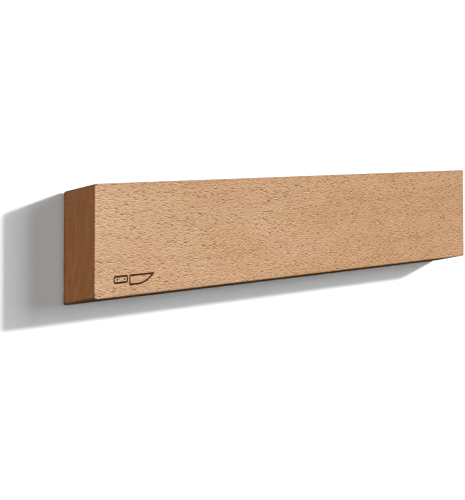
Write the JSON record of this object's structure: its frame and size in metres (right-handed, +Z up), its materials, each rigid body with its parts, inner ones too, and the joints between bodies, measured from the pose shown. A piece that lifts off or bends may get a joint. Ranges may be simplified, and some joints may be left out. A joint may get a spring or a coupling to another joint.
{
  "type": "magnetic knife rack",
  "caption": "Wall-mounted beech bar with hidden magnets behind its front face; a steel back plate hangs it by keyholes on wall screws.",
  "frame": {"origin": "middle of the bar on the wall plane, which is the back face of the central rubber pad", "axes": "+X along the bar to the right of someone facing it, -Y out of the wall towards that person, +Z up"},
  "size_m": [0.406, 0.0592, 0.064],
  "materials": {
    "beech": "oiled beech, fine flecked grain",
    "magnet_nickel": "nickel-plated neodymium",
    "keeper_steel": "plain mild steel strip",
    "batten_wood": "sawn, unfinished",
    "plate_steel": "zinc-plated sheet",
    "screw_steel": "bright zinc plating",
    "pad_rubber": "matt black",
    "plug_nylon": "moulded natural nylon"
  },
  "bodies": {
    "wall_fixings": {"wall_screw_left": "screw_steel", "wall_screw_right": "screw_steel", "wall_plug_left": "plug_nylon", "wall_plug_right": "plug_nylon"},
    "rack": {"wood_bar": "beech", "magnets_upper": "magnet_nickel", "magnets_lower": "magnet_nickel", "keeper_upper": "keeper_steel", "keeper_lower": "keeper_steel", "filler_batten_upper": "batten_wood", "filler_batten_lower": "batten_wood", "back_plate": "plate_steel", "plate_screws": "screw_steel", "rubber_pads": "pad_rubber"}
  },
  "joints": [
    {"name": "rack_lift", "type": "slide", "parent": "wall_fixings", "child": "rack", "axis": [0, 0, 1], "range_m": [0, 0.009]}
  ]
}
